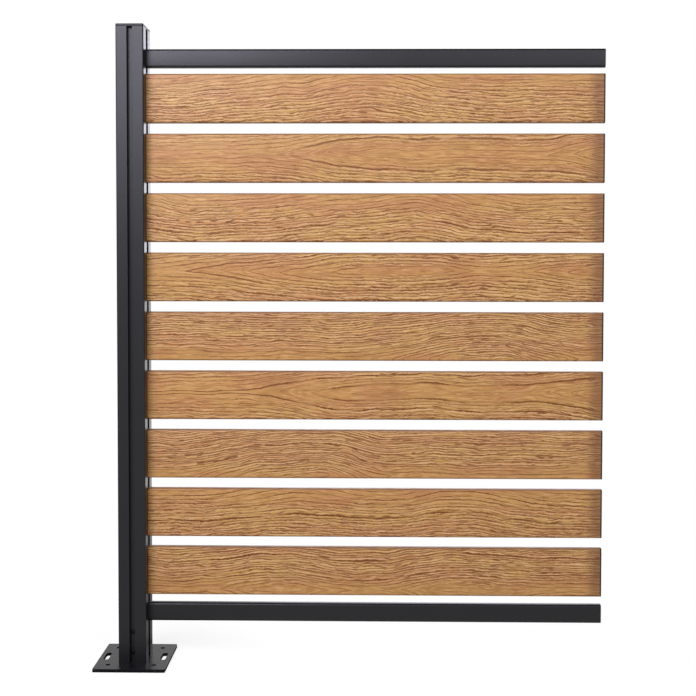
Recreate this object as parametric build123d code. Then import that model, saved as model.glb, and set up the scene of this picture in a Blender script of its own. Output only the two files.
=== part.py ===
from build123d import *
import os

# Slatted bin screen: one bolt-down H-section post that carries a panel of hollow wood-effect slats
# between a bottom and a top rail. The free ends of the slats go into the outer channel of a next post.
# Millimetres. The origin is the centre of the base plate's underside, +Z is up, +X runs along the slats
# away from the post, and -Y is the front.

# Slats: hollow extrusions with a wood-effect skin
slat_count = 9
slat_height = 92.0
slat_thickness = 16.0
slat_length = 875.0
slat_wall = 1.5
slat_corner_radius = 4.0
slat_web_count = 2
slat_gap = 19.5

# Rails: hollow extrusions above and below the slats
rail_height = 35.0
rail_wall = 1.8
rail_corner_radius = 4.5
bottom_rail_clearance = 71.0
gap_under_slats = 15.5
gap_over_slats = 11.0

# Post: H-section extrusion with a channel each side and a groove front and back
web_width = 15.0
channel_depth = 18.5
box_depth = 25.5
post_wall = 2.0
post_corner_radius = 2.2
post_above_top_rail = 37.5
groove_depth = 11.0
lip_radius = 0.5
slat_side_clearance = 0.5
slat_end_clearance = 1.0

# Base: plate with four round holes, two slots and two welded spigots inside the post
plate_width = 135.0
plate_depth = 145.0
plate_thickness = 6.0
plate_corner_radius = 3.0
plate_edge_chamfer = 0.6
bolt_hole_radius = 4.5
bolt_edge_distance = 24.5
slot_width = 10.0
slot_length = 38.0
slot_edge_distance = 13.5
spigot_height = 90.0
spigot_lead_in = 2.0
spigot_clearance = 0.3
spigot_back_clearance = 2.2
spigot_side_clearance = 3.0

# Post cap: moulded plate with a plug in each end chamber
cap_thickness = 5.0
cap_edge_radius = 1.4
cap_seam_chamfer = 0.8
cap_plug_length = 12.0
cap_plug_clearance = 0.4

# Spacers: moulded blocks stacked in the post's inner channel between the slats
spacer_clearance = 0.3
spacer_setback = 4.0
spacer_wall = 2.0
spacer_edge_radius = 0.8

# Cleat: folded angle that locks the top rail down in the channel
cleat_thickness = 2.0
cleat_height = 20.0

# Screws: self-drilling, pan head, cross recess; threads are plain cylinders
screw_radius = 2.1
screw_head_radius = 4.0
screw_head_height = 2.8
screw_head_round = 1.6
screw_recess_width = 1.1
screw_recess_length = 4.2
screw_recess_depth = 1.6
screw_hole_clearance = 0.1
screw_head_clearance = 1.0
screw_tip_length = 3.0
screw_tip_radius = 0.5
screw_tip_gap = 2.3
foot_screw_height = 16.0
foot_screw_top_margin = 35.0

# Places worked out from the sizes above
channel_width = slat_thickness + 2 * slat_side_clearance
channel_floor_x = web_width / 2
post_width = web_width + 2 * channel_depth
post_depth = channel_width + 2 * box_depth
groove_width = 2 * (screw_head_radius + screw_head_clearance)
slat_start_x = channel_floor_x + slat_end_clearance
slat_pitch = slat_height + slat_gap
bottom_rail_z = plate_thickness + bottom_rail_clearance
first_slat_z = bottom_rail_z + rail_height + gap_under_slats
last_slat_top_z = first_slat_z + (slat_count - 1) * slat_pitch + slat_height
top_rail_z = last_slat_top_z + gap_over_slats
top_rail_top_z = top_rail_z + rail_height
post_top_z = top_rail_top_z + post_above_top_rail
post_length = post_top_z - plate_thickness
chamber_inner_y = channel_width / 2 + post_wall
chamber_outer_y = post_depth / 2 - post_wall
groove_floor_y = post_depth / 2 - groove_depth
groove_back_y = groove_floor_y - post_wall
web_half_hollow = channel_floor_x - post_wall
spigot_width = post_width - 2 * (post_wall + spigot_side_clearance)
spigot_outer_y = groove_back_y - spigot_clearance
spigot_inner_y = chamber_inner_y + spigot_back_clearance
foot_screw_length = groove_floor_y - spigot_inner_y - screw_tip_gap
foot_screw_heights = (foot_screw_height, spigot_height - foot_screw_top_margin)
cleat_screw_height = (cleat_height + cleat_thickness) / 2
cleat_screw_length = cleat_thickness + post_wall + 2 * web_half_hollow - screw_tip_gap
same_place = 1e-6
least_inner_radius = 0.3


def box_between(x0, x1, y0, y1, z0, z1):
    """A box from its two corners."""
    size = Box(x1 - x0, y1 - y0, z1 - z0)
    return Pos((x0 + x1) / 2, (y0 + y1) / 2, (z0 + z1) / 2) * size


def rectangle_between(x0, x1, y0, y1):
    """A flat rectangle from its two corners."""
    return Pos((x0 + x1) / 2, (y0 + y1) / 2) * Rectangle(x1 - x0, y1 - y0)


def along_x(profile, start, length):
    """Extrudes a profile drawn as (Y, Z) along +X."""
    plane = Plane(origin=(start, 0, 0), x_dir=(0, 1, 0), z_dir=(1, 0, 0))
    return extrude(plane * profile, length)


def tube_profile(depth, height, wall, radius, web_count=0):
    """A hollow rounded rectangle, divided into equal cells by level webs."""
    outer = RectangleRounded(depth, height, radius)
    cell_count = web_count + 1
    inner_height = height - 2 * wall
    cell_height = (inner_height - web_count * wall) / cell_count
    inner_radius = max(radius - wall, least_inner_radius)
    inner = RectangleRounded(depth - 2 * wall, inner_height, inner_radius)
    for index in range(web_count):
        web_y = -inner_height / 2 + (index + 1) * (cell_height + wall) - wall / 2
        inner -= Pos(0, web_y) * Rectangle(depth, wall)
    return outer - inner


def end_chamber(side):
    """The hollow of the post's front (-1) or back (+1) box, which wraps round the groove."""
    half_width = post_width / 2 - post_wall
    half_recess = groove_width / 2 + post_wall
    low, high = sorted((side * chamber_inner_y, side * chamber_outer_y))
    recess_low, recess_high = sorted((side * groove_back_y, side * chamber_outer_y))
    chamber = rectangle_between(-half_width, half_width, low, high)
    return chamber - rectangle_between(-half_recess, half_recess, recess_low, recess_high)


def post_profile():
    """The H-section: two boxes and a web, channels left and right, grooves front and back."""
    section = RectangleRounded(post_width, post_depth, post_corner_radius)
    for side in (-1, 1):
        low, high = sorted((side * channel_floor_x, side * post_width / 2))
        section -= rectangle_between(low, high, -channel_width / 2, channel_width / 2)
        low, high = sorted((side * groove_floor_y, side * post_depth / 2))
        section -= rectangle_between(-groove_width / 2, groove_width / 2, low, high)
    lips = [
        corner
        for corner in section.vertices()
        if is_lip(corner.X, post_width, corner.Y, channel_width)
        or is_lip(corner.Y, post_depth, corner.X, groove_width)
    ]
    section = fillet(lips, lip_radius)
    section -= rectangle_between(-web_half_hollow, web_half_hollow, -channel_width / 2, channel_width / 2)
    for side in (-1, 1):
        section -= end_chamber(side)
    return section


def is_lip(across, outer_size, along, mouth):
    """True for a corner on an outer face at the edge of a channel's or groove's mouth."""
    on_face = abs(abs(across) - outer_size / 2) < same_place
    return on_face and abs(abs(along) - mouth / 2) < same_place


def screw(length):
    """A pan-head screw that points along -Z with its head seated on the XY plane."""
    head = Pos(0, 0, screw_head_height / 2) * Cylinder(screw_head_radius, screw_head_height)
    head = fillet(head.edges().sort_by(Axis.Z)[-1], screw_head_round)
    recess_z = screw_head_height - screw_recess_depth / 2
    for size in ((screw_recess_length, screw_recess_width), (screw_recess_width, screw_recess_length)):
        head -= Pos(0, 0, recess_z) * Box(*size, screw_recess_depth)
    shank_length = length - screw_tip_length
    shank = Pos(0, 0, -shank_length / 2) * Cylinder(screw_radius, shank_length)
    tip_z = -shank_length - screw_tip_length / 2
    tip = Pos(0, 0, tip_z) * Cone(screw_tip_radius, screw_radius, screw_tip_length)
    return head + shank + tip


def foot_screw_places():
    """Where the foot screws seat on the groove floors, heads facing out."""
    for side in (-1, 1):
        for height in foot_screw_heights:
            seat = (0, side * groove_floor_y, plate_thickness + height)
            yield Plane(origin=seat, x_dir=(1, 0, 0), z_dir=(0, side, 0))


def cleat_screw_place():
    """Where the cleat's screw seats, head facing along the slats."""
    seat = (channel_floor_x + cleat_thickness, 0, top_rail_top_z + cleat_screw_height)
    return Plane(origin=seat, x_dir=(0, 1, 0), z_dir=(1, 0, 0))


def screw_hole(place, length):
    """The clearance hole of a screw that seats on a place."""
    return place * Pos(0, 0, -length / 2) * Cylinder(screw_radius + screw_hole_clearance, length)


def make_base_plate():
    """Flat plate with a rectangle of bolt holes and a slot left and right of the post."""
    profile = RectangleRounded(plate_width, plate_depth, plate_corner_radius)
    bolt_x = plate_width / 2 - bolt_edge_distance
    bolt_y = plate_depth / 2 - bolt_edge_distance
    slot_x = plate_width / 2 - slot_edge_distance
    for side in (-1, 1):
        for end in (-1, 1):
            profile -= Pos(side * bolt_x, end * bolt_y) * Circle(bolt_hole_radius)
        profile -= Pos(side * slot_x, 0) * Rot(0, 0, 90) * SlotOverall(slot_length, slot_width)
    plate = extrude(profile, plate_thickness)
    rim = plate.faces().sort_by(Axis.Z)[-1].outer_wire().edges()
    return chamfer(rim, plate_edge_chamfer)


def make_spigot(side):
    """Upright flat bar on the plate, behind the front (-1) or back (+1) groove floor."""
    low, high = sorted((side * spigot_outer_y, side * spigot_inner_y))
    half = spigot_width / 2
    bar = box_between(-half, half, low, high, plate_thickness, plate_thickness + spigot_height)
    bar = chamfer(bar.faces().sort_by(Axis.Z)[-1].edges(), spigot_lead_in)
    for place in foot_screw_places():
        if place.origin.Y * side > 0:
            bar -= screw_hole(place, foot_screw_length)
    return bar


def make_post():
    """The extrusion, drilled for the foot screws and the cleat's screw."""
    post = Pos(0, 0, plate_thickness) * extrude(post_profile(), post_length)
    for place in foot_screw_places():
        post -= screw_hole(place, 2 * post_wall)
    post -= screw_hole(cleat_screw_place(), cleat_thickness + 2 * post_wall)
    return post


def make_post_cap():
    """Plate over the post's end with a bevelled seam and a plug down each end chamber."""
    profile = RectangleRounded(post_width, post_depth, post_corner_radius)
    cap = Pos(0, 0, post_top_z) * extrude(profile, cap_thickness)
    cap = fillet(cap.faces().sort_by(Axis.Z)[-1].edges(), cap_edge_radius)
    cap = chamfer(cap.faces().sort_by(Axis.Z)[0].edges(), cap_seam_chamfer)
    half = post_width / 2 - post_wall - cap_plug_clearance
    for side in (-1, 1):
        ends = (chamber_inner_y + cap_plug_clearance, groove_back_y - cap_plug_clearance)
        low, high = sorted(side * end for end in ends)
        cap += box_between(-half, half, low, high, post_top_z - cap_plug_length, post_top_z)
    return cap


def make_rail(bottom_z):
    """A hollow rail with its lower face at a height."""
    profile = tube_profile(slat_thickness, rail_height, rail_wall, rail_corner_radius)
    return Pos(0, 0, bottom_z + rail_height / 2) * along_x(profile, slat_start_x, slat_length)


def make_slat(bottom_z):
    """A hollow slat with its lower edge at a height."""
    profile = tube_profile(slat_thickness, slat_height, slat_wall, slat_corner_radius, slat_web_count)
    return Pos(0, 0, bottom_z + slat_height / 2) * along_x(profile, slat_start_x, slat_length)


def make_spacer(bottom_z, top_z):
    """A block in the inner channel, hollow on the side that faces the channel floor."""
    x0, x1 = channel_floor_x + spacer_clearance, post_width / 2 - spacer_setback
    half = channel_width / 2 - spacer_clearance
    block = box_between(x0, x1, -half, half, bottom_z, top_z)
    block = fillet(block.faces().sort_by(Axis.X)[-1].edges(), spacer_edge_radius)
    pocket_half = half - spacer_wall
    pocket_ends = (bottom_z + spacer_wall, top_z - spacer_wall)
    return block - box_between(x0, x1 - spacer_wall, -pocket_half, pocket_half, *pocket_ends)


def make_cleat():
    """Folded angle: one leg on the channel floor, the other on top of the top rail."""
    half = channel_width / 2 - spacer_clearance
    x0, z0 = channel_floor_x, top_rail_top_z
    upright = box_between(x0, x0 + cleat_thickness, -half, half, z0, z0 + cleat_height)
    foot = box_between(x0, post_width / 2 - spacer_setback, -half, half, z0, z0 + cleat_thickness)
    return upright + foot - screw_hole(cleat_screw_place(), cleat_thickness)


def make_parts():
    """Every piece by its node name."""
    parts = {
        "base_plate": make_base_plate(),
        "front_spigot": make_spigot(-1),
        "rear_spigot": make_spigot(1),
        "post": make_post(),
        "post_cap": make_post_cap(),
        "bottom_rail": make_rail(bottom_rail_z),
        "top_rail": make_rail(top_rail_z),
        "bottom_rail_prop": make_spacer(plate_thickness, bottom_rail_z),
        "lower_spacer": make_spacer(bottom_rail_z + rail_height, first_slat_z),
        "upper_spacer": make_spacer(last_slat_top_z, top_rail_z),
        "top_rail_cleat": make_cleat(),
        "cleat_screw": cleat_screw_place() * screw(cleat_screw_length),
        "foot_screws": Compound(children=[p * screw(foot_screw_length) for p in foot_screw_places()]),
    }
    for index in range(slat_count):
        slat_z = first_slat_z + index * slat_pitch
        parts[f"slat_{index + 1}"] = make_slat(slat_z)
        if index + 1 < slat_count:
            slat_top = slat_z + slat_height
            parts[f"slat_spacer_{index + 1}"] = make_spacer(slat_top, slat_top + slat_gap)
    return parts


os.makedirs("parts", exist_ok=True)
for name, shape in make_parts().items():
    export_step(shape, f"parts/{name}.step")
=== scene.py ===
import math
from collections import namedtuple

import bmesh
import bpy
from bpy.props import FloatProperty, FloatVectorProperty, IntProperty, PointerProperty
from mathutils import Matrix, Vector


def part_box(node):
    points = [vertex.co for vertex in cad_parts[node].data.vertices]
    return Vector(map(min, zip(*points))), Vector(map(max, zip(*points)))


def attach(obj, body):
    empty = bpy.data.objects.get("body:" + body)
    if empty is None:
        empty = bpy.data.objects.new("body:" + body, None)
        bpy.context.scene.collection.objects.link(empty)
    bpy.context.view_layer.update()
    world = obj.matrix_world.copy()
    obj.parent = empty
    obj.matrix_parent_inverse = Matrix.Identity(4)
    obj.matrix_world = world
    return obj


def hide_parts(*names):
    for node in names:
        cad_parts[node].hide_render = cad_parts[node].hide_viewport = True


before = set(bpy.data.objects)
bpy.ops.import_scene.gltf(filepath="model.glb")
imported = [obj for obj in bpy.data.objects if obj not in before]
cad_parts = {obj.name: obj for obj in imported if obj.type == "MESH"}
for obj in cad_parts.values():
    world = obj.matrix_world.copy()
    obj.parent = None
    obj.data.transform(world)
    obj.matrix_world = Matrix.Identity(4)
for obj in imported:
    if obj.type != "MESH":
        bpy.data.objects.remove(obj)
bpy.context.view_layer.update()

bl_info = {
    "name": "Slatted bin screen",
    "version": (1, 0, 0),
    "blender": (4, 5, 0),
    "location": "View3D > Sidebar > Screen",
    "description": "Dresses a slatted bin screen in oak-effect film and powder coat, in a white studio",
    "category": "Object",
}

# Everything is in metres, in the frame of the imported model: origin under the base plate, +Z up,
# +X along the slats away from the post, -Y towards the front.
SLATS = sorted(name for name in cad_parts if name.startswith("slat_") and "spacer" not in name)
RAILS = ("bottom_rail", "top_rail")
MOULDINGS = [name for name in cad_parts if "spacer" in name] + ["bottom_rail_prop", "post_cap"]
PLATED_STEEL = ("front_spigot", "rear_spigot", "top_rail_cleat")
SCREWS = ("foot_screws", "cleat_screw")

# Side of the picture, in pixels
PHOTO_SIDE = 696

# Meshes of the extrusions: points round an outer and an inner corner, the least inner radius, the distance
# within which points merge and the angle from which an edge is sharp
OUTER_STEPS = 8
CELL_STEPS = 5
LEAST_RADIUS = 0.0003
MERGE_DISTANCE = 1e-6
SHARP_ANGLE = math.radians(30)

# Roughness and gloss of the powder coats, and roughness of the plated steel
COAT_ROUGHNESS = 0.35
COAT_GLOSS = 0.42
PLATE_ROUGHNESS = 0.30
PLATE_GLOSS = 0.23
ZINC_ROUGHNESS = 0.38
SCREW_ROUGHNESS = 0.42

# Marks on bare aluminium, in waves a metre along X, Y and Z, and their roughness
DIE_LINES = (8.0, 900.0, 900.0)
DIE_ROUGHNESS = 0.42
SAW_MARKS = (200.0, 1400.0, 120.0)
SAW_ROUGHNESS = 0.34

# Growth rings of the film: the power of a ring's section, where 2 would be a circle and 1 a gable, the
# figure's fall for each step back through the slat, the least steepness at which a ring meets the face,
# how ragged and uneven the rings are, in rings, and how far apart the slats' noises lie
ARCH_POWER = 1.35
BACK_FALL = 1.2
LEAST_STEEP = 0.12
RAGGED_RINGS = 0.8
UNEVEN_RINGS = 1.5
SEED_STEP = 17.0

# Marks of the film: the full-strength share of a line's width, the strands' radians a metre across the
# rings and their drift in radians
LINE_CORE = 0.35
STRAND_TURNS = 1950.0
STRAND_DRIFT = 22.0

# Strengths of the film's marks and of its painted shade, from 0 to 1
FAINTEST_LINE = 0.65
FAINTEST_BREAK = 0.4
CALM_HEART = 0.25
PALE_SIDE = 0.5
DARK_STRAND = 0.85
PALE_STRAND = 0.58
DARK_FIBRE = 0.26
PALE_FIBRE = 0.24
STAIN = 0.35
WARM_HEART = 0.6
# Painted shade: how dark the film is made along its rounded edges and at its free end, and how much
# brightness its cut keeps
PAINTED_RIM_SHADE = 0.6
PAINTED_CUT_BRIGHTNESS = 0.12

# The figure of a slat's film is that of a flat-sawn board. heart is the height of the log's heart line
# above the slat's middle, depth is how far it lies behind the face at the post and ring is the width of
# a growth ring. Each swell makes the heart line deeper, or shallower, by its rise from one X to another.
Swell = namedtuple("Swell", "start end rise")
Figure = namedtuple("Figure", "heart depth ring seed swells")
FIGURES = {
    "slat_9": Figure(
        heart=0.046,
        depth=0.072,
        ring=0.0050,
        seed=1.0,
        swells=[Swell(0.06, 0.31, 0.017), Swell(0.31, 0.42, 0.008), Swell(0.43, 0.64, -0.023)],
    ),
    "slat_8": Figure(
        heart=-0.002,
        depth=0.074,
        ring=0.0048,
        seed=2.0,
        swells=[Swell(0.23, 0.46, -0.020), Swell(0.76, 0.90, -0.013)],
    ),
    "slat_7": Figure(
        heart=0.046,
        depth=0.080,
        ring=0.0048,
        seed=3.0,
        swells=[
            Swell(0.0, 0.12, -0.011),
            Swell(0.15, 0.41, 0.017),
            Swell(0.41, 0.52, 0.008),
            Swell(0.53, 0.74, -0.023),
        ],
    ),
    "slat_6": Figure(
        heart=0.001,
        depth=0.058,
        ring=0.0050,
        seed=4.0,
        swells=[Swell(0.0, 0.50, -0.032), Swell(0.54, 0.66, 0.009), Swell(0.68, 0.90, -0.015)],
    ),
    "slat_5": Figure(
        heart=-0.052,
        depth=0.040,
        ring=0.0039,
        seed=5.0,
        swells=[Swell(0.42, 0.69, -0.034), Swell(0.685, 0.86, 0.030)],
    ),
    "slat_4": Figure(
        heart=-0.003,
        depth=0.071,
        ring=0.0048,
        seed=6.0,
        swells=[Swell(0.20, 0.44, -0.020), Swell(0.74, 0.90, -0.013)],
    ),
    "slat_3": Figure(
        heart=-0.052,
        depth=0.040,
        ring=0.0039,
        seed=7.0,
        swells=[Swell(0.06, 0.33, -0.034), Swell(0.325, 0.50, 0.030)],
    ),
    "slat_2": Figure(
        heart=0.044,
        depth=0.066,
        ring=0.0052,
        seed=8.0,
        swells=[
            Swell(0.10, 0.32, 0.017),
            Swell(0.33, 0.46, -0.011),
            Swell(0.47, 0.60, 0.011),
            Swell(0.63, 0.83, -0.019),
        ],
    ),
    "slat_1": Figure(
        heart=-0.044,
        depth=0.044,
        ring=0.0042,
        seed=9.0,
        swells=[
            Swell(0.13, 0.26, -0.013),
            Swell(0.28, 0.42, 0.011),
            Swell(0.46, 0.60, -0.015),
            Swell(0.64, 0.80, 0.009),
        ],
    ),
}


def pick(sockets, key):
    """A socket by its place, its identifier or its name."""
    if isinstance(key, int):
        return sockets[key]
    for socket in sockets:
        if socket.identifier == key:
            return socket
    return sockets[key]


class Wire:
    """An output of a node. Arithmetic on it adds Math nodes to the same tree."""

    def __init__(self, bench, socket):
        self.bench = bench
        self.socket = socket

    def out(self, name):
        """Another output of the same node."""
        return Wire(self.bench, pick(self.socket.node.outputs, name))

    def __add__(self, other):
        return self.bench.math("ADD", self, other)

    def __radd__(self, other):
        return self.bench.math("ADD", other, self)

    def __sub__(self, other):
        return self.bench.math("SUBTRACT", self, other)

    def __rsub__(self, other):
        return self.bench.math("SUBTRACT", other, self)

    def __mul__(self, other):
        return self.bench.math("MULTIPLY", self, other)

    def __rmul__(self, other):
        return self.bench.math("MULTIPLY", other, self)

    def __truediv__(self, other):
        return self.bench.math("DIVIDE", self, other)

    def __rtruediv__(self, other):
        return self.bench.math("DIVIDE", other, self)

    def __pow__(self, other):
        return self.bench.math("POWER", self, other)

    def __abs__(self):
        return self.bench.math("ABSOLUTE", self)


class Bench:
    """Adds nodes to one tree and links them."""

    def __init__(self, tree):
        self.tree = tree
        tree.nodes.clear()

    def add(self, kind, settings=None, sockets=None, output=0):
        """A node of a kind: first its settings, then the values or links of its sockets."""
        node = self.tree.nodes.new(kind)
        for name, value in (settings or {}).items():
            setattr(node, name, value)
        for key, value in (sockets or {}).items():
            socket = pick(node.inputs, key)
            for item in value if isinstance(value, list) else [value]:
                if isinstance(item, Wire):
                    self.tree.links.new(item.socket, socket)
                else:
                    socket.default_value = item
        return Wire(self, pick(node.outputs, output)) if node.outputs else None

    def math(self, operation, *values):
        """A Math node."""
        return self.add("ShaderNodeMath", {"operation": operation}, dict(enumerate(values)))

    def smooth(self, value, start, end, low=0.0, high=1.0):
        """A value that eases from low at start to high at end."""
        sockets = {"Value": value, "From Min": start, "From Max": end, "To Min": low, "To Max": high}
        return self.add("ShaderNodeMapRange", {"interpolation_type": "SMOOTHSTEP"}, sockets)

    def noise(self, place, waves, shift=0.0, detail=2.0, rough=0.5):
        """Noise from 0 to 1 with a number of waves a metre along X, Y and Z."""
        moved = self.add(
            "ShaderNodeVectorMath",
            {"operation": "MULTIPLY_ADD"},
            {0: place, 1: waves, 2: (shift, 2 * shift, 3 * shift)},
        )
        sockets = {"Vector": moved, "Scale": 1.0, "Detail": detail, "Roughness": rough}
        return self.add("ShaderNodeTexNoise", None, sockets)

    def blend(self, factor, first, second):
        """A colour between two colours."""
        sockets = {"Factor_Float": factor, "A_Color": first, "B_Color": second}
        return self.add("ShaderNodeMix", {"data_type": "RGBA"}, sockets, "Result_Color")

    def scale(self, colour, factor):
        """A colour made darker or lighter."""
        return self.add("ShaderNodeVectorMath", {"operation": "SCALE"}, {0: colour, "Scale": factor})


def rgba(colour, factor=1.0):
    """A colour property as four numbers, darker or lighter by a factor."""
    return tuple(part * factor for part in colour) + (1.0,)


def new_finish(name):
    """A material and the bench of its emptied tree."""
    material = bpy.data.materials.new(name)
    material.use_nodes = True
    return material, Bench(material.node_tree)


def close_finish(bench, strength, relief, height, **shader):
    """Adds the shader, with a bump of a strength and a relief, and joins it to the material's output."""
    shader = {name.replace("_", " "): value for name, value in shader.items()}
    normal = bench.add("ShaderNodeBump", None, {"Strength": strength, "Distance": relief, "Height": height})
    principled = bench.add("ShaderNodeBsdfPrincipled", None, {**shader, "Normal": normal})
    bench.add("ShaderNodeOutputMaterial", None, {"Surface": principled})


def powder_coat(name, colour, roughness, gloss):
    """Satin powder coat: dark, with a fine orange peel and a faint cloudiness."""
    material, bench = new_finish(name)
    place = bench.add("ShaderNodeTexCoord", output="Object")
    cloud = bench.noise(place, (14.0, 14.0, 14.0))
    peel = bench.noise(place, (420.0, 420.0, 420.0), 3.0)
    speck = bench.noise(place, (1900.0, 1900.0, 1900.0), 7.0)
    tone = bench.blend(cloud * 0.6 + speck * 0.4, rgba(colour, 0.85), rgba(colour, 1.15))
    close_finish(
        bench,
        strength=0.25,
        relief=0.00012,
        height=peel * 0.7 + speck * 0.3,
        Base_Color=tone,
        Roughness=roughness + (cloud - 0.5) * 0.06 + (speck - 0.5) * 0.10,
        Specular_IOR_Level=gloss,
    )
    return material


def moulded_plastic(name, colour):
    """Black moulded plastic with a fine spark-eroded texture."""
    material, bench = new_finish(name)
    place = bench.add("ShaderNodeTexCoord", output="Object")
    flow = bench.noise(place, (30.0, 30.0, 12.0))
    texture = bench.noise(place, (1500.0, 1500.0, 1500.0), 5.0)
    close_finish(
        bench,
        strength=0.4,
        relief=0.00015,
        height=texture,
        Base_Color=bench.blend(flow, rgba(colour, 0.8), rgba(colour, 1.2)),
        Roughness=0.5 + (flow - 0.5) * 0.15 + (texture - 0.5) * 0.1,
    )
    return material


def plated_steel(name, colour, roughness):
    """Zinc plate: metal with soft blotches and fine scuffs."""
    material, bench = new_finish(name)
    place = bench.add("ShaderNodeTexCoord", output="Object")
    blotch = bench.noise(place, (120.0, 120.0, 120.0))
    scuff = bench.noise(place, (900.0, 900.0, 60.0), 4.0)
    close_finish(
        bench,
        strength=0.2,
        relief=0.00005,
        height=scuff,
        Base_Color=bench.blend(blotch, rgba(colour, 0.8), rgba(colour, 1.1)),
        Metallic=1.0,
        Roughness=roughness + (blotch - 0.5) * 0.12 + (scuff - 0.5) * 0.12,
    )
    return material


def bare_metal(name, colour, waves, roughness):
    """Bare aluminium with die lines or saw marks, by the waves a metre along X, Y and Z."""
    material, bench = new_finish(name)
    place = bench.add("ShaderNodeTexCoord", output="Object")
    marks = bench.noise(place, waves)
    close_finish(
        bench,
        strength=0.3,
        relief=0.00004,
        height=marks,
        Base_Color=bench.blend(marks, rgba(colour, 0.8), rgba(colour, 1.05)),
        Metallic=1.0,
        Roughness=roughness + (marks - 0.5) * 0.2,
    )
    return material


def bare_ends(prefix, colour):
    """The bare metal inside an extrusion and on its cut ends."""
    inside = bare_metal(f"{prefix}_inside", colour, DIE_LINES, DIE_ROUGHNESS)
    cut_end = bare_metal(f"{prefix}_cut_end", colour, SAW_MARKS, SAW_ROUGHNESS)
    return inside, cut_end


def growth_rings(bench, place, x, figure, middle, sizes):
    """How many rings lie between the heart line and a point of the face, and how steeply they meet it."""
    y, z = x.out("Y"), x.out("Z")
    seed = SEED_STEP * figure.seed
    sway = bench.noise(place, (6.0, 0.0, 5.0), seed) - 0.5
    waver = bench.noise(place, (18.0, 0.0, 40.0), seed + 2.0) - 0.5
    ragged = bench.noise(place, (160.0, 0.0, 300.0), seed + 3.0, rough=0.6) - 0.5
    above_heart = z - (middle + figure.heart) + y * BACK_FALL
    from_heart = abs(above_heart + sway * sizes.grain_sway + waver * sizes.grain_waver)
    depth = figure.depth
    for swell in figure.swells:
        depth = bench.smooth(x, swell.start, swell.end, 0.0, swell.rise) + depth
    radius = (from_heart**ARCH_POWER + depth**ARCH_POWER) ** (1.0 / ARCH_POWER)
    steep = bench.math("MAXIMUM", (from_heart / radius) ** 0.5, LEAST_STEEP)
    rings = radius / figure.ring + ragged * steep * RAGGED_RINGS
    rings = rings + (bench.noise(rings, (0.6, 0.0, 0.0), seed) - 0.5) * UNEVEN_RINGS
    return rings, steep


def film_painted_shade(bench, tone, x, box, sizes, colours):
    """Paints shade into a film's colour: darker along its rounded edges and towards its free end, and
    almost black at the cut.
    """
    low, high = box
    middle = (low.z + high.z) / 2
    half_height = (high.z - low.z) / 2
    shade_full = high.x - sizes.end_shade_full
    cut_shade_start = high.x - sizes.cut_shade_start
    cut_shade_full = high.x - sizes.cut_shade_full
    from_middle = abs(x.out("Z") - middle)
    edge = bench.smooth(from_middle, half_height - sizes.slat_radius, half_height, 0.0, PAINTED_RIM_SHADE)
    end = bench.smooth(x, high.x - sizes.end_shade, shade_full, 0.0, PAINTED_RIM_SHADE)
    tone = bench.blend(bench.math("MAXIMUM", end, edge), tone, rgba(colours.film_end_shade))
    return bench.scale(tone, bench.smooth(x, cut_shade_start, cut_shade_full, 1.0, PAINTED_CUT_BRIGHTNESS))


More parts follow.
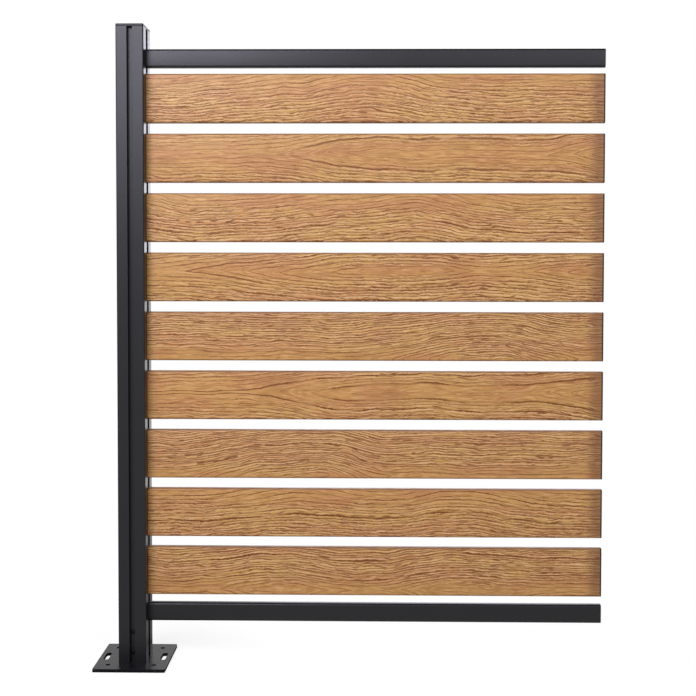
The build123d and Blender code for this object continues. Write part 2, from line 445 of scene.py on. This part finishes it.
def oak_film(name, figure, box, sizes, colours):
    """Wood-effect film: ring lines of a flat-sawn board, pores, fibres and warm patches, with painted shade
    at its rims.
    """
    material, bench = new_finish(name)
    low, high = box
    seed = SEED_STEP * figure.seed
    place = bench.add("ShaderNodeTexCoord", output="Object")
    x = bench.add("ShaderNodeSeparateXYZ", None, {0: place})
    rings, steep = growth_rings(bench, place, x, figure, (low.z + high.z) / 2, sizes)
    flow = bench.add("ShaderNodeCombineXYZ", None, {"X": x, "Z": rings * figure.ring})
    busy = bench.smooth(steep, 0.42, 0.80, CALM_HEART, 1.0)

    # Ring lines of about the same width all over the face: broken, strong or faint, each with a pale side
    within = bench.math("FRACT", rings)
    ring_number = bench.math("FLOOR", rings) + seed
    chance = bench.add("ShaderNodeTexWhiteNoise", {"noise_dimensions": "1D"}, {"W": ring_number})
    width = figure.ring / steep
    core = sizes.line_width * LINE_CORE
    breaks = bench.noise(flow, (16.0, 0.0, 200.0), seed + 6.0, 3.0)
    broken = bench.smooth(breaks, 0.38, 0.56, FAINTEST_BREAK, 1.0)
    line = bench.smooth((1.0 - within) * width, sizes.line_width, core)
    line = line * broken * (FAINTEST_LINE + (1.0 - FAINTEST_LINE) * chance)
    pale = bench.smooth(within * width, sizes.line_width, core)
    pale = pale * broken * busy * PALE_SIDE

    # Dark and pale strands that follow the rings, calmer near the heart, and fibres that run along the slat
    drift = bench.noise(flow, (16.0, 0.0, 80.0), seed + 8.0, 1.0) - 0.5
    stroke = bench.smooth(bench.noise(flow, (46.0, 0.0, 260.0), seed + 14.0, 0.0), 0.34, 0.58)
    strand = bench.math("SINE", rings * (figure.ring * STRAND_TURNS) + drift * STRAND_DRIFT) * stroke
    fibre = bench.noise(place, (34.0, 0.0, 330.0), seed + 10.0, 3.0, 0.6)
    dark_fibre = bench.smooth(fibre, 0.48, 0.36, 0.0, DARK_FIBRE)
    pale_fibre = bench.smooth(fibre, 0.52, 0.64, 0.0, PALE_FIBRE)
    pores = bench.smooth(strand, -0.15, -1.0, 0.0, DARK_STRAND) * busy + dark_fibre
    glints = bench.smooth(strand, 0.15, 1.0, 0.0, PALE_STRAND) * busy + pale_fibre

    # Stains near the heart, and a ground with warm patches that is warm near the heart too
    stain = bench.smooth(bench.noise(place, (9.0, 0.0, 40.0), seed + 16.0, 4.0), 0.54, 0.66) * (1.0 - busy)
    patch = bench.smooth(bench.noise(place, (6.0, 0.0, 34.0), seed + 12.0, 3.0), 0.40, 0.60)
    patch = bench.math("MAXIMUM", patch, (1.0 - busy) * WARM_HEART)

    ground = bench.blend(patch, rgba(colours.film_light), rgba(colours.film_warm))
    tone = bench.blend(bench.math("MAXIMUM", glints, pale), ground, rgba(colours.film_pale))
    dark = bench.math("MAXIMUM", bench.math("MAXIMUM", line, pores), stain * STAIN)
    tone = bench.blend(dark, tone, rgba(colours.film_line))
    close_finish(
        bench,
        strength=0.35,
        relief=0.00020,
        height=glints * 0.4 - pores * 0.6 - line * 0.5,
        # The base colour carries painted shade along the film's edges, at its free end and at its cut
        Base_Color=film_painted_shade(bench, tone, x, box, sizes, colours),
        Roughness=0.40 + line * 0.10 + pores * 0.10 - glints * 0.06,
        Specular_IOR_Level=0.35,
    )
    return material


def hollow_extrusion_tree():
    """Geometry nodes that make a hollow rounded extrusion along X with a row of cells inside."""
    tree = bpy.data.node_groups.new("hollow extrusion", "GeometryNodeTree")
    inputs = (
        ("Length", "NodeSocketFloat"),
        ("Height", "NodeSocketFloat"),
        ("Thickness", "NodeSocketFloat"),
        ("Wall", "NodeSocketFloat"),
        ("Corner Radius", "NodeSocketFloat"),
        ("Cells", "NodeSocketInt"),
        ("Start", "NodeSocketVector"),
        ("Skin", "NodeSocketMaterial"),
        ("Inside", "NodeSocketMaterial"),
        ("Cut End", "NodeSocketMaterial"),
    )
    for name, kind in inputs:
        tree.interface.new_socket(name, in_out="INPUT", socket_type=kind)
    tree.interface.new_socket("Extrusion", in_out="OUTPUT", socket_type="NodeSocketGeometry")
    bench = Bench(tree)
    given = bench.add("NodeGroupInput")
    wall, cells, length = given.out("Wall"), given.out("Cells"), given.out("Length")

    # Outlines of the outside and of the cells, drawn as X across the thickness and Y up the height
    def outline(width, height, radius, steps):
        corners = bench.add(
            "GeometryNodeCurvePrimitiveQuadrilateral",
            {"mode": "RECTANGLE"},
            {"Width": width, "Height": height},
        )
        sockets = {"Curve": corners, "Count": steps, "Radius": radius, "Limit Radius": True}
        return bench.add("GeometryNodeFilletCurve", {"mode": "POLY"}, sockets)

    outside = outline(given.out("Thickness"), given.out("Height"), given.out("Corner Radius"), OUTER_STEPS)
    cell_pitch = (given.out("Height") - wall) / cells
    cell_height = cell_pitch - wall
    cell_radius = bench.math("MAXIMUM", given.out("Corner Radius") - wall, LEAST_RADIUS)
    cell = outline(given.out("Thickness") - wall * 2.0, cell_height, cell_radius, CELL_STEPS)
    first_cell = (cells - 1.0) * cell_pitch * -0.5
    cell_places = bench.add(
        "GeometryNodeMeshLine",
        None,
        {
            "Count": cells,
            "Start Location": bench.add("ShaderNodeCombineXYZ", None, {"Y": first_cell}),
            "Offset": bench.add("ShaderNodeCombineXYZ", None, {"Y": cell_pitch}),
        },
    )
    row = bench.add("GeometryNodeInstanceOnPoints", None, {"Points": cell_places, "Instance": cell})
    row = bench.add("GeometryNodeRealizeInstances", None, {"Geometry": row})

    # Walls pulled from the outlines, and the two cut ends
    run = bench.add("ShaderNodeCombineXYZ", None, {"Z": length})

    def walls(curve, material, is_skin):
        edges = bench.add("GeometryNodeCurveToMesh", None, {"Curve": curve})
        pulled = bench.add("GeometryNodeExtrudeMesh", {"mode": "EDGES"}, {"Mesh": edges, "Offset": run})
        marked = bench.add(
            "GeometryNodeStoreNamedAttribute",
            {"data_type": "BOOLEAN", "domain": "FACE"},
            {"Geometry": pulled, "Name": "skin", "Value": is_skin},
        )
        return bench.add("GeometryNodeSetMaterial", None, {"Geometry": marked, "Material": material})

    both = bench.add("GeometryNodeJoinGeometry", None, {"Geometry": [outside, row]})
    near_end = bench.add("GeometryNodeFillCurve", {"mode": "TRIANGLES"}, {"Curve": both})
    sockets = {"Geometry": near_end, "Material": given.out("Cut End")}
    near_end = bench.add("GeometryNodeSetMaterial", None, sockets)
    far_end = bench.add("GeometryNodeTransform", None, {"Geometry": near_end, "Translation": run})
    pieces = [
        walls(outside, given.out("Skin"), True),
        walls(row, given.out("Inside"), False),
        near_end,
        far_end,
    ]
    joined = bench.add("GeometryNodeJoinGeometry", None, {"Geometry": pieces})
    sockets = {"Geometry": joined, "Distance": MERGE_DISTANCE}
    joined = bench.add("GeometryNodeMergeByDistance", None, sockets)
    quarter = math.pi / 2
    sockets = {"Geometry": joined, "Translation": given.out("Start"), "Rotation": (quarter, 0.0, quarter)}
    placed = bench.add("GeometryNodeTransform", None, sockets)
    real = bench.add("GeometryNodeRealizeInstances", None, {"Geometry": placed})
    is_skin = bench.add("GeometryNodeInputNamedAttribute", {"data_type": "BOOLEAN"}, {"Name": "skin"})
    finished = bench.add(
        "GeometryNodeSetMaterial",
        None,
        {"Geometry": real, "Selection": is_skin, "Material": given.out("Skin")},
    )
    bench.add("NodeGroupOutput", None, {"Extrusion": finished})
    return tree


def mesh_from_tree(name, tree, values):
    """An object at the origin whose plain mesh is the result of a tree with its inputs set."""
    made = bpy.data.objects.new(name, bpy.data.meshes.new(name))
    bpy.context.scene.collection.objects.link(made)
    modifier = made.modifiers.new("build", "NODES")
    modifier.node_group = tree
    inputs = [item for item in tree.interface.items_tree if item.in_out == "INPUT"]
    identifiers = {item.name: item.identifier for item in inputs}
    for input_name, value in values.items():
        modifier[identifiers[input_name]] = value
    shape = made.evaluated_get(bpy.context.evaluated_depsgraph_get())
    mesh = bpy.data.meshes.new_from_object(shape)
    made.modifiers.remove(modifier)
    made.data = mesh
    mesh.name = name
    if not mesh.polygons:
        raise RuntimeError(f"the tree made no faces for {name}")
    shell = bmesh.new()
    shell.from_mesh(mesh)
    bmesh.ops.remove_doubles(shell, verts=shell.verts, dist=MERGE_DISTANCE)
    bmesh.ops.recalc_face_normals(shell, faces=shell.faces)
    shell.to_mesh(mesh)
    shell.free()
    mesh.shade_smooth()
    mesh.set_sharp_from_angle(angle=SHARP_ANGLE)
    return made


def extrusion(node, tree, shape, finishes):
    """Makes a hollow extrusion in the place of a CAD node.

    Its shape is its wall, corner radius and cells, and its finishes are those of skin, inside and cut ends.
    """
    low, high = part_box(node)
    wall, radius, cells = shape
    skin, inside, cut_end = finishes
    values = {
        "Length": high.x - low.x,
        "Height": high.z - low.z,
        "Thickness": high.y - low.y,
        "Wall": wall,
        "Corner Radius": radius,
        "Cells": cells,
        "Start": (low.x, (low.y + high.y) / 2, (low.z + high.z) / 2),
        "Skin": skin,
        "Inside": inside,
        "Cut End": cut_end,
    }
    piece = mesh_from_tree(f"{node}_profile", tree, values)
    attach(piece, "root")
    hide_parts(node)


def paint(nodes, material):
    """Gives CAD nodes a finish."""
    for name in nodes:
        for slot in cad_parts[name].material_slots:
            slot.material = material


class ScreenSizes(bpy.types.PropertyGroup):
    """Sizes that the boxes of the CAD nodes don't give."""

    slat_wall: FloatProperty(
        name="Slat wall", description="Wall of a slat's extrusion", default=0.0015, unit="LENGTH"
    )
    slat_radius: FloatProperty(
        name="Slat radius", description="Radius of a slat's long edges", default=0.004, unit="LENGTH"
    )
    slat_cells: IntProperty(name="Slat cells", description="Hollow cells in a slat", default=3)
    rail_wall: FloatProperty(
        name="Rail wall", description="Wall of a rail's extrusion", default=0.0018, unit="LENGTH"
    )
    rail_radius: FloatProperty(
        name="Rail radius", description="Radius of a rail's long edges", default=0.0045, unit="LENGTH"
    )
    rail_cells: IntProperty(name="Rail cells", description="Hollow cells in a rail", default=1)
    line_width: FloatProperty(
        name="Line width", description="Width of a ring's dark line", default=0.0030, unit="LENGTH"
    )
    grain_sway: FloatProperty(
        name="Grain sway", description="How far the grain swings up and down", default=0.022, unit="LENGTH"
    )
    grain_waver: FloatProperty(
        name="Grain waver", description="How far the grain trembles", default=0.007, unit="LENGTH"
    )
    # Lengths of the shade painted into the film at its free end, and of the darker cut at the very end,
    # also painted shade
    end_shade: FloatProperty(
        name="End shade",
        description="Length of the darker film at the free end",
        default=0.036,
        unit="LENGTH",
    )
    end_shade_full: FloatProperty(
        name="Full shade",
        description="How far from the free end the film is darkest",
        default=0.010,
        unit="LENGTH",
    )
    cut_shade_start: FloatProperty(
        name="Cut start", description="Where the cut darkens, from the end", default=0.0034, unit="LENGTH"
    )
    cut_shade_full: FloatProperty(
        name="Cut full", description="Where the cut is darkest, from the end", default=0.0020, unit="LENGTH"
    )


class ScreenColours(bpy.types.PropertyGroup):
    """Colours of the finishes."""

    film_light: FloatVectorProperty(
        name="Light oak",
        description="Pale ground of the film",
        default=(0.660, 0.370, 0.099),
        subtype="COLOR",
    )
    film_warm: FloatVectorProperty(
        name="Warm oak",
        description="Pinkish ground of the film",
        default=(0.602, 0.286, 0.093),
        subtype="COLOR",
    )
    film_pale: FloatVectorProperty(
        name="Pale strand",
        description="Pale strands of the film",
        default=(0.95, 0.63, 0.31),
        subtype="COLOR",
    )
    film_line: FloatVectorProperty(
        name="Ring line", description="Dark line of a ring", default=(0.19, 0.050, 0.003), subtype="COLOR"
    )
    # Colour of the shade painted into the film along its edges and at its free end
    film_end_shade: FloatVectorProperty(
        name="Film end", description="Film at the free end", default=(0.20, 0.085, 0.035), subtype="COLOR"
    )
    coat: FloatVectorProperty(
        name="Powder coat", description="Post and rails", default=(0.008, 0.008, 0.009), subtype="COLOR"
    )
    plate_coat: FloatVectorProperty(
        name="Plate coat", description="Base plate", default=(0.010, 0.010, 0.011), subtype="COLOR"
    )
    plastic: FloatVectorProperty(
        name="Plastic", description="Cap and spacers", default=(0.014, 0.014, 0.015), subtype="COLOR"
    )
    zinc: FloatVectorProperty(
        name="Zinc", description="Spigots and cleat", default=(0.50, 0.51, 0.53), subtype="COLOR"
    )
    screw: FloatVectorProperty(
        name="Screw", description="Black-plated screws", default=(0.025, 0.025, 0.027), subtype="COLOR"
    )
    aluminium: FloatVectorProperty(
        name="Aluminium", description="Bare extrusion", default=(0.62, 0.63, 0.64), subtype="COLOR"
    )


class ScreenStage(bpy.types.PropertyGroup):
    """The studio: camera, lamps, world and floor."""

    camera_place: FloatVectorProperty(
        name="Camera",
        description="Place of the camera",
        default=(0.43995, -2.20031, 0.76397),
        subtype="XYZ",
    )
    camera_yaw: FloatProperty(
        name="Yaw", description="Turn of the camera to the left", default=0.016107, subtype="ANGLE"
    )
    camera_pitch: FloatProperty(
        name="Pitch", description="Tilt of the camera upwards", default=-0.034527, subtype="ANGLE"
    )
    camera_roll: FloatProperty(
        name="Roll", description="Turn about the line of sight", default=-0.001351, subtype="ANGLE"
    )
    focal_pixels: FloatProperty(
        name="Focal length", description="Focal length in pixels of the picture", default=1167.64
    )
    centre_row: FloatProperty(
        name="Centre row", description="Pixel row of the picture that the camera points at", default=300.0
    )
    key_place: FloatVectorProperty(
        name="Key lamp", description="Place of the key lamp", default=(-0.60, -2.3, 2.0), subtype="XYZ"
    )
    lamp_aim: FloatVectorProperty(
        name="Lamp aim", description="What the lamps point at", default=(0.40, 0.0, 0.75), subtype="XYZ"
    )
    key_size: FloatProperty(
        name="Key size", description="Side of the key lamp", default=1.4, unit="LENGTH"
    )
    key_power: FloatProperty(
        name="Key power", description="Power of the key lamp", default=52.0, unit="POWER"
    )
    side_place: FloatVectorProperty(
        name="Side lamp", description="Place of the side lamp", default=(1.5, -2.2, 2.0), subtype="XYZ"
    )
    side_size: FloatProperty(
        name="Side size", description="Side of the side lamp", default=1.6, unit="LENGTH"
    )
    side_power: FloatProperty(
        name="Side power", description="Power of the side lamp", default=14.0, unit="POWER"
    )
    back_place: FloatVectorProperty(
        name="Back lamp", description="Place of the back lamp", default=(0.7, 3.0, 1.5), subtype="XYZ"
    )
    back_size: FloatProperty(
        name="Back size", description="Side of the back lamp", default=1.6, unit="LENGTH"
    )
    back_power: FloatProperty(
        name="Back power", description="Power of the back lamp", default=15.0, unit="POWER"
    )
    lamp_colour: FloatVectorProperty(
        name="Lamp colour", description="Colour of the lamps", default=(0.96, 0.94, 1.12), subtype="COLOR"
    )
    fill: FloatProperty(name="Fill", description="Strength of the world's soft light", default=0.21)
    front_gloss: FloatProperty(
        name="Front gloss", description="Brightness of the studio's front in reflections", default=0.55
    )
    back_gloss: FloatProperty(
        name="Back gloss", description="Brightness of the studio's back in reflections", default=1.6
    )
    dark_gloss: FloatProperty(
        name="Dark gloss", description="Brightness of the studio's dark sides in reflections", default=0.03
    )
    floor_gloss: FloatProperty(
        name="Floor gloss", description="Brightness of the floor in front in reflections", default=0.68
    )
    rear_floor_gloss: FloatProperty(
        name="Rear floor gloss", description="Brightness of the floor behind in reflections", default=0.35
    )
    far_floor_gloss: FloatProperty(
        name="Far floor gloss", description="What the far floor behind adds in reflections", default=1.2
    )
    shadow_core: FloatProperty(
        name="Shadow core", description="Where the floor starts to fade", default=0.05, unit="LENGTH"
    )
    shadow_reach: FloatProperty(
        name="Shadow reach", description="Where the floor has faded to white", default=0.30, unit="LENGTH"
    )


class SCREEN_OT_slats(bpy.types.Operator):
    """Makes the nine hollow slats in their oak-effect film"""

    bl_idname = "screen.slats"
    bl_label = "Slats"

    def execute(self, context):
        sizes, colours = context.scene.screen_sizes, context.scene.screen_colours
        tree = hollow_extrusion_tree()
        inside, cut_end = bare_ends("slat", colours.aluminium)
        shape = (sizes.slat_wall, sizes.slat_radius, sizes.slat_cells)
        for index, node in enumerate(SLATS):
            film = oak_film(f"oak_film_{index + 1}", FIGURES[node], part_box(node), sizes, colours)
            extrusion(node, tree, shape, (film, inside, cut_end))
        return {"FINISHED"}


class SCREEN_OT_rails(bpy.types.Operator):
    """Makes the hollow top and bottom rails in their powder coat"""

    bl_idname = "screen.rails"
    bl_label = "Rails"

    def execute(self, context):
        sizes, colours = context.scene.screen_sizes, context.scene.screen_colours
        tree = hollow_extrusion_tree()
        coat = powder_coat("rail_coat", colours.coat, COAT_ROUGHNESS, COAT_GLOSS)
        finishes = (coat, *bare_ends("rail", colours.aluminium))
        shape = (sizes.rail_wall, sizes.rail_radius, sizes.rail_cells)
        for node in RAILS:
            extrusion(node, tree, shape, finishes)
        return {"FINISHED"}


class SCREEN_OT_metalwork(bpy.types.Operator):
    """Coats the post and the base plate"""

    bl_idname = "screen.metalwork"
    bl_label = "Post and base plate"

    def execute(self, context):
        colours = context.scene.screen_colours
        paint(["post"], powder_coat("post_coat", colours.coat, COAT_ROUGHNESS, COAT_GLOSS))
        plate_coat = powder_coat("plate_coat", colours.plate_coat, PLATE_ROUGHNESS, PLATE_GLOSS)
        paint(["base_plate"], plate_coat)
        return {"FINISHED"}


class SCREEN_OT_mouldings(bpy.types.Operator):
    """Gives the cap and the spacers their moulded plastic"""

    bl_idname = "screen.mouldings"
    bl_label = "Cap and spacers"

    def execute(self, context):
        paint(MOULDINGS, moulded_plastic("black_moulding", context.scene.screen_colours.plastic))
        return {"FINISHED"}


class SCREEN_OT_fixings(bpy.types.Operator):
    """Plates the spigots, the cleat and the screws"""

    bl_idname = "screen.fixings"
    bl_label = "Fixings"

    def execute(self, context):
        colours = context.scene.screen_colours
        paint(PLATED_STEEL, plated_steel("zinc_plate", colours.zinc, ZINC_ROUGHNESS))
        paint(SCREWS, plated_steel("black_zinc", colours.screw, SCREW_ROUGHNESS))
        return {"FINISHED"}


class SCREEN_OT_stage(bpy.types.Operator):
    """Sets up the white floor, the studio light and the camera"""

    bl_idname = "screen.stage"
    bl_label = "Stage"

    def execute(self, context):
        stage = context.scene.screen_stage
        context.scene.view_settings.view_transform = "Standard"
        self.make_floor(context, stage)
        self.make_world(context, stage)
        self.make_lamp(context, "key", stage.key_place, stage.key_size, stage.key_power)
        self.make_lamp(context, "side", stage.side_place, stage.side_size, stage.side_power)
        self.make_lamp(context, "back", stage.back_place, stage.back_size, stage.back_power)
        self.make_camera(context, stage)
        return {"FINISHED"}

    def make_floor(self, context, stage):
        """A wide floor that keeps the shadow near the foot and is white further out."""
        half = 20.0
        drop = 0.0004
        corners = [(-half, -half, -drop), (half, -half, -drop), (half, half, -drop), (-half, half, -drop)]
        mesh = bpy.data.meshes.new("floor")
        mesh.from_pydata(corners, [], [(0, 1, 2, 3)])
        floor = bpy.data.objects.new("floor", mesh)
        context.scene.collection.objects.link(floor)
        mesh.materials.append(self.floor_finish(stage))

    def floor_finish(self, stage):
        """Grey to soft light, pale with its shadow where it is seen, and a glow in reflections."""
        material, bench = new_finish("floor_white")
        path = bench.add("ShaderNodeLightPath", output="Is Camera Ray")
        seen = bench.math("MAXIMUM", path, path.out("Is Transmission Ray"))
        place = bench.add("ShaderNodeTexCoord", output="Object")
        reach = bench.add("ShaderNodeVectorMath", {"operation": "LENGTH"}, {0: place}, "Value")
        back = bench.add("ShaderNodeSeparateXYZ", None, {0: place}, "Y")

        # Where it is seen: a pale floor with a glow under the shadow, which fades to white
        fade = bench.smooth(reach, stage.shadow_core, stage.shadow_reach)
        pale = bench.add("ShaderNodeBsdfDiffuse", None, {"Color": (0.4, 0.4, 0.4, 1.0)})
        glow = bench.add("ShaderNodeEmission", None, {"Strength": 0.78})
        white = bench.add("ShaderNodeEmission", None, {"Strength": 1.0})
        near = bench.add("ShaderNodeAddShader", None, {0: pale, 1: glow})
        shown = bench.add("ShaderNodeMixShader", None, {0: fade, 1: near, 2: white})

        # In reflections: black under and just beside the plate, a painted shadow, dimmer right behind it
        # and bright far behind
        past_painted_shadow = bench.smooth(reach, 0.08, 0.17)
        gloss = bench.smooth(back, 0.0, 0.1, stage.floor_gloss, stage.rear_floor_gloss)
        gloss = gloss + bench.smooth(back, 0.3, 2.0, 0.0, stage.far_floor_gloss)
        mirrored = bench.add("ShaderNodeEmission", None, {"Strength": past_painted_shadow * gloss})

        plain = bench.add("ShaderNodeBsdfDiffuse", None, {"Color": (0.6, 0.6, 0.6, 1.0)})
        glossy = path.out("Is Glossy Ray")
        surface = bench.add("ShaderNodeMixShader", None, {0: seen, 1: plain, 2: shown})
        surface = bench.add("ShaderNodeMixShader", None, {0: glossy, 1: surface, 2: mirrored})
        bench.add("ShaderNodeOutputMaterial", None, {"Surface": surface})
        return material

    def make_world(self, context, stage):
        """White where it is seen, bright only behind and in front in reflections, and a soft fill."""
        world = bpy.data.worlds.new("studio")
        world.use_nodes = True
        context.scene.world = world
        bench = Bench(world.node_tree)
        path = bench.add("ShaderNodeLightPath", output="Is Camera Ray")
        seen = bench.math("MAXIMUM", path, path.out("Is Transmission Ray"))
        glossy = path.out("Is Glossy Ray")
        facing = bench.add("ShaderNodeTexCoord", output="Generated")
        split = bench.add("ShaderNodeSeparateXYZ", None, {0: facing})
        behind = bench.smooth(split.out("Y"), 0.55, 0.95, 0.0, stage.back_gloss)
        ahead = bench.smooth(split.out("Y"), -0.6, -0.95, 0.0, stage.front_gloss)
        overhead = bench.smooth(split.out("Z"), 0.12, 0.5, 1.0, 0.1)
        mirrored = (behind + ahead) * overhead + stage.dark_gloss
        strength = glossy * mirrored + (1.0 - glossy) * stage.fill
        strength = seen + (1.0 - seen) * strength
        sky = bench.add("ShaderNodeBackground", None, {"Color": (1.0, 1.0, 1.0, 1.0), "Strength": strength})
        bench.add("ShaderNodeOutputWorld", None, {"Surface": sky})

    def make_lamp(self, context, name, place, size, power):
        """A square soft lamp that points at the panel."""
        stage = context.scene.screen_stage
        data = bpy.data.lights.new(name, "AREA")
        data.size = size
        data.energy = power
        data.color = stage.lamp_colour
        lamp = bpy.data.objects.new(name, data)
        lamp.location = place
        aim = Vector(stage.lamp_aim) - Vector(place)
        lamp.rotation_euler = aim.to_track_quat("-Z", "Y").to_euler()
        lamp.visible_camera = False
        context.scene.collection.objects.link(lamp)

    def make_camera(self, context, stage):
        """The camera, with its turn about Z, its tilt and its roll."""
        data = bpy.data.cameras.new("camera")
        data.sensor_width = 36.0
        data.lens = stage.focal_pixels / PHOTO_SIDE * data.sensor_width
        data.shift_y = (stage.centre_row - PHOTO_SIDE / 2) / PHOTO_SIDE
        camera = bpy.data.objects.new("camera", data)
        level = Matrix.Rotation(math.pi / 2, 4, "X")
        turn = Matrix.Rotation(stage.camera_yaw, 4, "Z")
        tilt = Matrix.Rotation(stage.camera_pitch, 4, "X")
        roll = Matrix.Rotation(stage.camera_roll, 4, "Y")
        camera.matrix_world = Matrix.Translation(stage.camera_place) @ turn @ tilt @ roll @ level
        context.scene.collection.objects.link(camera)
        context.scene.camera = camera


OPERATORS = (
    SCREEN_OT_metalwork,
    SCREEN_OT_rails,
    SCREEN_OT_slats,
    SCREEN_OT_mouldings,
    SCREEN_OT_fixings,
    SCREEN_OT_stage,
)


class SCREEN_PT_sidebar(bpy.types.Panel):
    """Lists the steps that dress the screen"""

    bl_label = "Slatted bin screen"
    bl_space_type = "VIEW_3D"
    bl_region_type = "UI"
    bl_category = "Screen"

    def draw(self, context):
        for operator in OPERATORS:
            self.layout.operator(operator.bl_idname)


GROUPS = {"screen_sizes": ScreenSizes, "screen_colours": ScreenColours, "screen_stage": ScreenStage}


def register():
    for group in GROUPS.values():
        bpy.utils.register_class(group)
    for name, group in GROUPS.items():
        setattr(bpy.types.Scene, name, PointerProperty(type=group))
    for operator in OPERATORS:
        bpy.utils.register_class(operator)
    bpy.utils.register_class(SCREEN_PT_sidebar)


def unregister():
    bpy.utils.unregister_class(SCREEN_PT_sidebar)
    for operator in reversed(OPERATORS):
        bpy.utils.unregister_class(operator)
    for name in GROUPS:
        delattr(bpy.types.Scene, name)
    for group in GROUPS.values():
        bpy.utils.unregister_class(group)


def main():
    register()
    bpy.ops.screen.metalwork()
    bpy.ops.screen.rails()
    bpy.ops.screen.slats()
    bpy.ops.screen.mouldings()
    bpy.ops.screen.fixings()
    bpy.ops.screen.stage()


if __name__ == "__main__":
    main()
